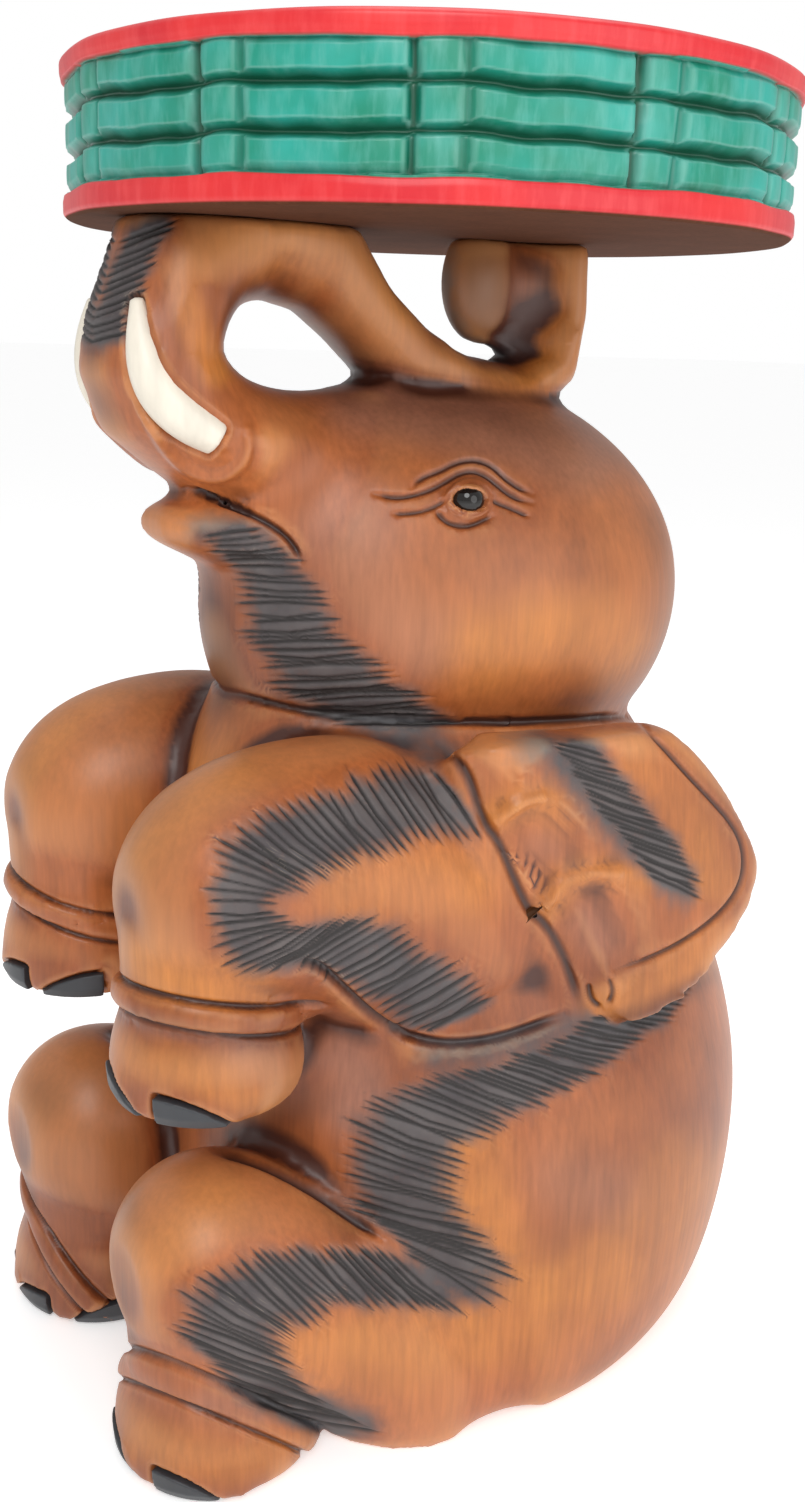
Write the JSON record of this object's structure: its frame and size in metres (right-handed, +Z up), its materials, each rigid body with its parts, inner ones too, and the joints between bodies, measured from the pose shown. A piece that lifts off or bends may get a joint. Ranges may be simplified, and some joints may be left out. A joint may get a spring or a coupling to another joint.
{
  "type": "carved elephant stool",
  "caption": "Round drum seat carried on the raised trunk of a carved wooden elephant that sits up with folded legs, used as a stool or plant stand.",
  "frame": {"origin": "on the floor, on the axis of the round seat, at the middle of the flat base the elephant sits on", "axes": "+Z up along the seat axis; the elephant faces -Y; its left side is +X"},
  "size_m": [0.28, 0.3353, 0.521],
  "materials": {
    "carved_wood": "hand carved, stained reddish brown with scorched bands, satin wax",
    "seat_paint": "carved band painted green between red painted rims, satin, bare wood underneath",
    "tusk_wood": "pale inlay, smooth",
    "eye_bead": "dark, glossy, opaque",
    "nail_wood": "dark stained, matt",
    "dowel_wood": "plain birch dowel"
  },
  "bodies": {
    "root": {"seat": "seat_paint", "trunk": "carved_wood", "head": "carved_wood", "lower_jaw": "carved_wood", "torso": "carved_wood", "ear_left": "carved_wood", "ear_right": "carved_wood", "foreleg_left": "carved_wood", "foreleg_right": "carved_wood", "hind_leg_left": "carved_wood", "hind_leg_right": "carved_wood", "tusk_left": "tusk_wood", "tusk_right": "tusk_wood", "eye_left": "eye_bead", "eye_right": "eye_bead", "front_left_nails": "nail_wood", "front_right_nails": "nail_wood", "hind_left_nails": "nail_wood", "hind_right_nails": "nail_wood", "neck_dowels": "dowel_wood", "seat_dowels": "dowel_wood", "trunk_dowels": "dowel_wood", "jaw_dowels": "dowel_wood", "foreleg_dowels": "dowel_wood", "hind_leg_dowels": "dowel_wood", "ear_dowels": "dowel_wood"}
  },
  "joints": []
}
